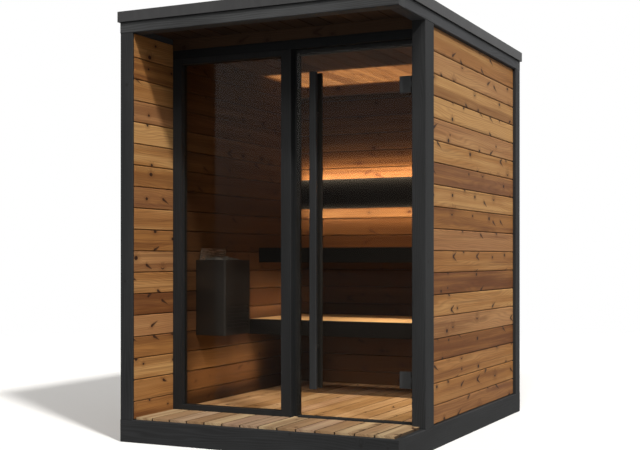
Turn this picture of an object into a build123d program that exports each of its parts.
from build123d import *
import os

# Outdoor sauna cabin: a timber room behind a covered porch, closed by a fixed pane and a glass door.
# Millimetres. The origin is on the ground under the middle, front is -Y, right is +X, up is +Z.

# Overall size, over the outer faces of the frame
width = 1600.0
depth = 2100.0
height = 2300.0

# Timber frame
post_width = 78.0
post_depth = 92.0
glazing_post_width = 75.0
glazing_post_depth = 122.0
timber_chamfer = 3.0
frame_chamfer = 2.0
base_height = 120.0
base_width = 95.0
beam_height = 60.0
beam_width = 78.0

# Flat roof
trim_height = 56.0
trim_overhang = 11.0
trim_thickness = 26.0
trim_lip = 4.0
roof_panel_thickness = 15.0
roof_sheet_front = 40.0
roof_sheet_rear = 22.0
soffit_thickness = 18.0
ceiling_drop = 46.0

# Walls
cladding_recess = 20.0
porch_cladding_thickness = 20.0
post_face_thickness = 14.0

# Porch and floor
porch_depth = 366.0
deck_inset = 30.0
deck_thickness = 26.0
deck_rise = 12.0
deck_under_glazing = 54.0
joist_width = 45.0
joist_height = 80.0
joist_count = 4

# Glazing front
glazing_set_back = 24.0
frame_depth = 60.0
transom_height = 61.0
header_height = 50.0
window_stile = 58.0
window_sill = 28.0
window_head = 31.0
mullion_width = 60.0
mullion_centre = -4.0
glass_thickness = 8.0
glass_set_back = 33.0
glass_groove = 12.0

# Door frame
door_gap = 21.0
door_head_gap = 20.0
door_sill_gap = 5.0
stop_overlap = 12.0
stop_clearance = 5.0
post_stop_width = 17.0
threshold_height = 9.0
threshold_depth = 46.0

# Glass door, shut
door_post_gap = 10.0
door_set_back = 30.0

# Door hinges
hinge_height = 86.0
hinge_from_bottom = 212.0
hinge_from_top = 208.0
hinge_reach = 14.0
knuckle_radius = 6.0
pin_radius = 3.0
pin_clearance = 0.05
knuckle_gap = 0.6
leaf_thickness = 4.0
leaf_depth = 30.0
leaf_notch = 16.0
clamp_width = 62.0
clamp_start = 13.0
clamp_thickness = 7.0
bolt_radius = 5.0
bolt_clearance = 0.3
bolt_pitch = 46.0

# Door handles
handle_centre_from_edge = 112.0
handle_from_bottom = 144.0
handle_from_top = 110.0
handle_width = 40.0
handle_thickness = 22.0
handle_stand_off = 19.0
handle_edge = 5.0
spacer_radius = 11.0
spacer_inset = 220.0
stud_radius = 5.0

# Benches
bench_front_thickness = 22.0
bench_front_height = 95.0
slat_thickness = 28.0
slat_gap = 9.0
slat_round = 4.0
bearer_width = 45.0
bearer_height = 60.0
upper_bench_height = 1049.0
upper_bench_depth = 612.0
upper_slats = 6
lower_bench_height = 598.0
lower_bench_reach = 758.0
lower_slats = 8

# Backrest and lights
backrest_bottom = 1318.0
backrest_height = 200.0
backrest_thickness = 20.0
backrest_stand_off = 30.0
backrest_end_gap = 6.0
batten_width = 60.0
batten_inset = 14.0
cornice_stand_off = 38.0
cornice_thickness = 20.0
cornice_height = 64.0
cornice_slot = 16.0
strip_width = 8.0
strip_height = 4.0
strip_below_cornice_top = 2.0

# Heater
heater_share_in_front = 0.367
heater_width = 296.0
heater_depth = 198.0
heater_bottom = 534.0
heater_height = 438.0
heater_wall = 3.0
heater_corner = 14.0
tray_depth = 150.0
tray_wall_gap = 26.0
louvre_count = 7
louvre_height = 9.0
louvre_depth = 6.0
louvre_pitch = 20.0
louvre_inset = 34.0
louvre_bottom = 46.0
back_plate_thickness = 2.0
back_plate_rise = 68.0
back_plate_slope = 24.0
stone_rise = 32.0
stone_heap_round = 36.0
stone_play = 1.0

# Outer faces and levels that follow from the sizes
right = width / 2
left = -right
rear = depth / 2
front = -rear
beam_top = height - trim_height
beam_bottom = beam_top - beam_height
side_inner = right - post_width
side_outer = right - cladding_recess
rear_inner = rear - post_depth
rear_outer = rear - cladding_recess
deck_top = base_height + deck_rise
deck_bottom = deck_top - deck_thickness
panel_bottom = beam_top - roof_panel_thickness
soffit_bottom = panel_bottom - soffit_thickness
ceiling_bottom = soffit_bottom - ceiling_drop
post_front = front + porch_depth
post_inner = right - glazing_post_width
glazing_front = post_front + glazing_set_back
glazing_back = glazing_front + frame_depth
floor_start = post_front + deck_under_glazing
transom_bottom = soffit_bottom - transom_height
header_bottom = transom_bottom - header_height

# Window opening and door opening
mullion_left = mullion_centre - mullion_width / 2
mullion_right = mullion_centre + mullion_width / 2
window_glass_front = glazing_front + glass_set_back
door_left = mullion_right + door_gap
door_right = post_inner - door_post_gap
door_bottom = deck_top + threshold_height + door_sill_gap
door_top = header_bottom - door_head_gap
door_front = glazing_front + door_set_back
door_back = door_front + glass_thickness
stop_front = door_back + stop_clearance

# Vertical hinge axis, in front of the glass at its right edge
axis_x = door_right
axis_y = door_front - hinge_reach
hinge_low = door_bottom + hinge_from_bottom
hinge_high = door_top - hinge_from_top
handle_bottom = door_bottom + handle_from_bottom
handle_top = door_top - handle_from_top


def block(x0, x1, y0, y1, z0, z1):
    """A box between two corners."""
    centre = Pos((x0 + x1) / 2, (y0 + y1) / 2, (z0 + z1) / 2)
    return centre * Box(x1 - x0, y1 - y0, z1 - z0)


def rod(radius, x, y, z0, z1):
    """An upright round bar."""
    return Pos(x, y, (z0 + z1) / 2) * Cylinder(radius, z1 - z0)


def cross_rod(radius, x, z, y0, y1):
    """A round bar that runs front to back."""
    return Pos(x, (y0 + y1) / 2, z) * Rot(90, 0, 0) * Cylinder(radius, y1 - y0)


def eased(timber, axis):
    """A timber with chamfered edges along an axis."""
    return chamfer(timber.edges().filter_by(axis), timber_chamfer)


def eased_front(member):
    """A glazing member with chamfered edges round its front face."""
    return chamfer(member.faces().sort_by(Axis.Y)[0].edges(), frame_chamfer)


def write(name, *solids):
    """One STEP file for each piece."""
    shape = solids[0] if len(solids) == 1 else Compound(list(solids))
    shape.label = name
    export_step(shape, f"parts/{name}.step")


# Floor: a deck before the glazing and a floor behind it, at one level

def porch_deck():
    porch = block(-side_inner, right - deck_inset, front + deck_inset, post_front, deck_bottom, deck_top)
    under_glazing = block(-side_inner, post_inner, post_front, floor_start, deck_bottom, deck_top)
    return porch + under_glazing


def room_floor():
    floor = block(-side_inner, side_inner, floor_start, rear_inner, deck_bottom, deck_top)
    return floor - post_front_right()


def base_beam(x0, x1, y0, y1, axis):
    """A base beam along an axis, rebated where the floor lies in it."""
    return eased(block(x0, x1, y0, y1, 0, base_height), axis) - porch_deck() - room_floor()


def floor_joists():
    side = right - base_width
    first = front + base_width
    span = rear - base_width - first
    step = (span - joist_width) / (joist_count + 1)
    joists = []
    for number in range(1, joist_count + 1):
        y0 = first + number * step
        joists.append(block(-side, side, y0, y0 + joist_width, deck_bottom - joist_height, deck_bottom))
    return joists


# Posts and roof frame

def post(x0, x1, y0, y1):
    return eased(block(x0, x1, y0, y1, base_height, beam_bottom), Axis.Z)


def porch_cladding():
    """The part of the porch cladding that lies on the front post, behind the post's face."""
    x0 = -side_inner - porch_cladding_thickness
    y0 = front + post_face_thickness
    return block(x0, -side_inner, y0, front + post_depth, base_height, beam_bottom)


def post_front_left():
    return post(left, -side_inner, front, front + post_depth) - porch_cladding()


def post_front_right():
    """The post that carries the door, with the stop that the door shuts against."""
    body = post(post_inner, right, post_front, post_front + glazing_post_depth)
    stop_left = post_inner - post_stop_width
    stop = block(stop_left, post_inner, stop_front, glazing_back, deck_top, header_bottom)
    return body + stop


def roof_beams():
    z = (beam_bottom, beam_top)
    inner_front = front + beam_width
    inner_rear = rear - beam_width
    return {
        "roof_beam_front": eased(block(left, right, front, inner_front, *z), Axis.X),
        "roof_beam_rear": eased(block(left, right, inner_rear, rear, *z), Axis.X),
        "roof_beam_left": eased(block(left, left + beam_width, inner_front, inner_rear, *z), Axis.Y),
        "roof_beam_right": eased(block(right - beam_width, right, inner_front, inner_rear, *z), Axis.Y),
    }


def roof_panel():
    side = right - beam_width
    end = rear - beam_width
    return block(-side, side, -end, end, panel_bottom, beam_top)


def roof_trim():
    """A ring round the roof edge, with a lip that turns in over the roof sheet."""
    x = right + trim_overhang
    y = rear + trim_overhang
    inner_x = x - trim_thickness
    inner_y = y - trim_thickness
    lip_x = inner_x - trim_thickness
    lip_y = inner_y - trim_thickness
    ring = block(-x, x, -y, y, beam_top, height)
    ring -= block(-inner_x, inner_x, -inner_y, inner_y, beam_top, height)
    lip = block(-x, x, -y, y, height - trim_lip, height)
    lip -= block(-lip_x, lip_x, -lip_y, lip_y, height - trim_lip, height)
    return ring + lip


def roof_sheet():
    """The roof covering inside the trim, falling to the rear."""
    x = right + trim_overhang - trim_thickness
    y = rear + trim_overhang - trim_thickness
    rear_top = beam_top + roof_sheet_rear
    front_top = beam_top + roof_sheet_front
    side = Polyline((-y, beam_top), (y, beam_top), (y, rear_top), (-y, front_top), close=True)
    return Pos(-x, 0, 0) * extrude(Plane.YZ * make_face(side), 2 * x)


def porch_soffit():
    return block(-side_inner, side_inner, front + beam_width, glazing_front, soffit_bottom, panel_bottom)


def ceiling():
    return block(-side_inner, side_inner, glazing_back, rear_inner, ceiling_bottom, panel_bottom)


# Walls

def left_wall():
    """The wall that runs on as the porch screen."""
    start = front + post_depth
    slab = block(-side_outer, -side_inner, start, rear_inner, base_height, beam_bottom)
    return slab + porch_cladding()


def right_wall():
    start = post_front + glazing_post_depth
    return block(side_inner, side_outer, start, rear_inner, base_height, beam_bottom)


def rear_wall():
    return block(-side_inner, side_inner, rear_inner, rear_outer, base_height, beam_bottom) - room_floor()


# Glazing front

def transom_panel():
    return block(-side_inner, side_inner, glazing_front, glazing_back, transom_bottom, panel_bottom)


def glazing_header():
    header = block(-side_inner, post_inner, glazing_front, glazing_back, header_bottom, transom_bottom)
    return eased_front(header)


def window_glass():
    x0 = -side_inner + window_stile - glass_groove
    x1 = mullion_left + glass_groove
    z0 = deck_top + window_sill - glass_groove
    z1 = header_bottom - window_head + glass_groove
    return block(x0, x1, window_glass_front, window_glass_front + glass_thickness, z0, z1)


def window_frame():
    """Two stiles and two rails round the fixed pane, which lies in a groove."""
    outer = block(-side_inner, mullion_right, glazing_front, glazing_back, deck_top, header_bottom)
    sight_x0 = -side_inner + window_stile
    sight_z0 = deck_top + window_sill
    sight_z1 = header_bottom - window_head
    sight = block(sight_x0, mullion_left, glazing_front, glazing_back, sight_z0, sight_z1)
    return eased_front(outer) - sight - window_glass()


def door_jamb():
    """The strip on the side of the mullion that the door shuts against."""
    return block(mullion_right, door_left + stop_overlap, stop_front, glazing_back, deck_top, header_bottom)


def door_head_stop():
    x0 = door_left + stop_overlap
    x1 = post_inner - post_stop_width
    return block(x0, x1, stop_front, glazing_back, door_top - stop_overlap, header_bottom)


def threshold():
    x0 = door_left + stop_overlap
    x1 = post_inner - post_stop_width
    return block(x0, x1, glazing_back - threshold_depth, glazing_back, deck_top, deck_top + threshold_height)


# Glass door

def hinge_bolts():
    """Places of the clamp bolts, as x and height."""
    x = axis_x - clamp_start - clamp_width / 2
    heights = [hinge_low, hinge_high]
    return [(x, z + side * bolt_pitch / 2) for z in heights for side in (-1, 1)]


def handle_x():
    return door_left + handle_centre_from_edge


def handle_studs():
    """Places of the handle studs, as x and height."""
    return [(handle_x(), handle_bottom + spacer_inset), (handle_x(), handle_top - spacer_inset)]


def door_glass():
    pane = block(door_left, door_right, door_front, door_back, door_bottom, door_top)
    for x, z in hinge_bolts():
        pane -= cross_rod(bolt_radius + bolt_clearance, x, z, door_front, door_back)
    for x, z in handle_studs():
        pane -= cross_rod(stud_radius + bolt_clearance, x, z, door_front, door_back)
    return pane


def hinge_leaf(z):
    """The part on the post: a leaf with two knuckles and the pin."""
    z0 = z - hinge_height / 2
    z1 = z + hinge_height / 2
    third = hinge_height / 3
    leaf_left = post_inner - leaf_thickness
    leaf_front = axis_y - knuckle_radius
    leaf = block(leaf_left, post_inner, leaf_front, leaf_front + leaf_depth, z0, z1)
    notch = block(leaf_left, post_inner, leaf_front, leaf_front + leaf_notch, z0 + third, z1 - third)
    shape = leaf - notch + rod(pin_radius, axis_x, axis_y, z0, z1)
    for low, high in ((z0, z0 + third), (z1 - third, z1)):
        web = block(axis_x, leaf_left, leaf_front, axis_y, low, high)
        shape += rod(knuckle_radius, axis_x, axis_y, low, high) + web
    return shape


def hinge_clamp(z):
    """The part on the door: two plates bolted through the glass and the middle knuckle."""
    z0 = z - hinge_height / 2
    z1 = z + hinge_height / 2
    third = hinge_height / 3
    low = z0 + third + knuckle_gap
    high = z1 - third - knuckle_gap
    x1 = axis_x - clamp_start
    x0 = x1 - clamp_width
    outer = block(x0, x1, door_front - clamp_thickness, door_front, z0, z1)
    inner = block(x0, x1, door_back, door_back + clamp_thickness, z0, z1)
    web = block(x1, axis_x, axis_y, door_front, low, high)
    shape = outer + inner + web + rod(knuckle_radius, axis_x, axis_y, low, high)
    for x, bolt_z in hinge_bolts():
        if z0 < bolt_z < z1:
            shape += cross_rod(bolt_radius, x, bolt_z, door_front, door_back)
    return shape - rod(pin_radius + pin_clearance, axis_x, axis_y, low, high)


def handle_bar(y0, y1):
    """A long bar with rounded edges."""
    half = handle_width / 2
    bar = block(handle_x() - half, handle_x() + half, y0, y1, handle_bottom, handle_top)
    return fillet(bar.edges().filter_by(Axis.Z), handle_edge)


def door_handle_outer():
    back = door_front - handle_stand_off
    shape = handle_bar(back - handle_thickness, back)
    for x, z in handle_studs():
        shape += cross_rod(spacer_radius, x, z, back, door_front)
        shape += cross_rod(stud_radius, x, z, door_front, door_back)
    return shape


def door_handle_inner():
    start = door_back + handle_stand_off
    shape = handle_bar(start, start + handle_thickness)
    for x, z in handle_studs():
        shape += cross_rod(spacer_radius, x, z, door_back, start)
    return shape


# Benches

upper_bench_front = rear_inner - upper_bench_depth
lower_bench_front = rear_inner - lower_bench_reach


def bench_seat(y0, y1, top, count):
    """Slats with rounded top edges that run wall to wall on three bearers."""
    slat_width = (y1 - y0 - (count - 1) * slat_gap) / count
    bottom = top - slat_thickness
    shape = block(-side_inner, -side_inner + bearer_width, y0, y1, bottom - bearer_height, bottom)
    shape += block(side_inner - bearer_width, side_inner, y0, y1, bottom - bearer_height, bottom)
    shape += block(-bearer_width / 2, bearer_width / 2, y0, y1, bottom - bearer_height, bottom)
    for number in range(count):
        start = y0 + number * (slat_width + slat_gap)
        slat = block(-side_inner, side_inner, start, start + slat_width, bottom, top)
        shape += fillet(slat.edges().filter_by(Axis.X).sort_by(Axis.Z)[-2:], slat_round)
    return shape


def upper_bench():
    start = upper_bench_front + bench_front_thickness
    return bench_seat(start, rear_inner, upper_bench_height, upper_slats)


def lower_bench():
    start = lower_bench_front + bench_front_thickness
    return bench_seat(start, rear_inner, lower_bench_height, lower_slats)


def bench_fronts():
    boards = []
    for y, top in ((upper_bench_front, upper_bench_height), (lower_bench_front, lower_bench_height)):
        bottom = top - bench_front_height
        board = block(-side_inner, side_inner, y, y + bench_front_thickness, bottom, top)
        boards.append(fillet(board.edges().filter_by(Axis.X).sort_by(Axis.Y)[:2], slat_round))
    return boards


# Backrest and lights

def backrest():
    """A dark panel that stands off the rear wall on three battens."""
    x = side_inner - backrest_end_gap
    back = rear_inner - backrest_stand_off
    top = backrest_bottom + backrest_height
    panel = block(-x, x, back - backrest_thickness, back, backrest_bottom, top)
    shape = fillet(panel.edges().filter_by(Axis.X).sort_by(Axis.Y)[:2], slat_round)
    for centre in (-x / 2, 0, x / 2):
        x0 = centre - batten_width / 2
        low = backrest_bottom + batten_inset
        shape += block(x0, x0 + batten_width, back, rear_inner, low, top - batten_inset)
    return shape


def cornice_top():
    return ceiling_bottom - cornice_slot


def light_cornice():
    """A board along the top of the rear wall, closed below, that hides a light strip."""
    top = cornice_top()
    bottom = top - cornice_height
    face_back = rear_inner - cornice_stand_off
    face = block(-side_inner, side_inner, face_back - cornice_thickness, face_back, bottom, top)
    return face + block(-side_inner, side_inner, face_back, rear_inner, bottom, bottom + cornice_thickness)


def light_strips():
    """Light strips in the cornice and behind both edges of the backrest."""
    x = side_inner - backrest_end_gap
    top = backrest_bottom + backrest_height
    in_cornice = cornice_top() - strip_below_cornice_top - strip_height
    over_battens = top - batten_inset
    under_battens = backrest_bottom + batten_inset - strip_height
    strips = []
    for z0 in (in_cornice, over_battens, under_battens):
        strips.append(block(-x, x, rear_inner - strip_width, rear_inner, z0, z0 + strip_height))
    return strips


# Heater

def heater_box():
    """The heater's x, y and height ranges: on the left wall, between the glazing and the benches."""
    x0 = -side_inner
    free = lower_bench_front - glazing_back - heater_width
    y0 = glazing_back + heater_share_in_front * free
    return x0, x0 + heater_depth, y0, y0 + heater_width, heater_bottom, heater_bottom + heater_height


def tray_back():
    return heater_box()[0] + tray_wall_gap


def heater_body():
    """A folded steel housing with rounded front corners, an open stone tray and slots low in its face."""
    x0, x1, y0, y1, z0, z1 = heater_box()
    housing = block(x0, x1, y0, y1, z0, z1)
    housing = fillet(housing.edges().filter_by(Axis.Z).sort_by(Axis.X)[-2:], heater_corner)
    tray = block(tray_back(), x1 - heater_wall, y0 + heater_wall, y1 - heater_wall, z1 - tray_depth, z1)
    housing -= fillet(tray.edges().filter_by(Axis.Z).sort_by(Axis.X)[-2:], heater_corner - heater_wall)
    slot_y = (y0 + louvre_inset, y1 - louvre_inset)
    for number in range(louvre_count):
        low = z0 + louvre_bottom + number * louvre_pitch
        housing -= block(x1 - louvre_depth, x1, *slot_y, low, low + louvre_height)
    return housing


def heater_back_plate():
    """A bright steel plate that shields the wall behind the stones."""
    x0, x1, y0, y1, z0, z1 = heater_box()
    top = z1 + back_plate_rise
    outline = Polyline((y0, z1), (y1, z1), (y1, top), (y0 + back_plate_slope, top), close=True)
    plate = extrude(Plane.YZ * make_face(outline), back_plate_thickness)
    return Pos(tray_back() - back_plate_thickness, 0, 0) * plate


def heater_stones():
    """The heap of stones in the tray."""
    x0, x1, y0, y1, z0, z1 = heater_box()
    inner = heater_wall + stone_play
    top = z1 + stone_rise
    heap = block(tray_back() + stone_play, x1 - inner, y0 + inner, y1 - inner, z1 - tray_depth, top)
    heap = fillet(heap.edges().filter_by(Axis.Z), heater_corner)
    return fillet(heap.faces().sort_by(Axis.Z)[-1].edges(), stone_heap_round)


os.makedirs("parts", exist_ok=True)

write("base_beam_front", base_beam(left, right, front, front + base_width, Axis.X))
write("base_beam_rear", base_beam(left, right, rear - base_width, rear, Axis.X))
write("base_beam_left", base_beam(left, left + base_width, front + base_width, rear - base_width, Axis.Y))
write("base_beam_right", base_beam(right - base_width, right, front + base_width, rear - base_width, Axis.Y))
write("floor_joists", *floor_joists())
write("porch_deck", porch_deck())
write("room_floor", room_floor())
write("post_front_left", post_front_left())
write("post_front_right", post_front_right())
write("post_rear_left", post(left, -side_inner, rear_inner, rear))
write("post_rear_right", post(side_inner, right, rear_inner, rear))
for name, beam in roof_beams().items():
    write(name, beam)
write("roof_panel", roof_panel())
write("roof_sheet", roof_sheet())
write("roof_trim", roof_trim())
write("porch_soffit", porch_soffit())
write("ceiling", ceiling())
write("left_wall", left_wall())
write("right_wall", right_wall())
write("rear_wall", rear_wall())
write("transom_panel", transom_panel())
write("glazing_header", glazing_header())
write("window_frame", window_frame())
write("window_glass", window_glass())
write("door_jamb", door_jamb())
write("door_head_stop", door_head_stop())
write("threshold", threshold())
write("door_glass", door_glass())
write("door_hinge_leaves", hinge_leaf(hinge_low), hinge_leaf(hinge_high))
write("door_hinge_clamps", hinge_clamp(hinge_low), hinge_clamp(hinge_high))
write("door_handle_outer", door_handle_outer())
write("door_handle_inner", door_handle_inner())
write("upper_bench", upper_bench())
write("lower_bench", lower_bench())
write("bench_fronts", *bench_fronts())
write("backrest", backrest())
write("light_cornice", light_cornice())
write("light_strips", *light_strips())
write("heater_body", heater_body())
write("heater_back_plate", heater_back_plate())
write("heater_stones", heater_stones())
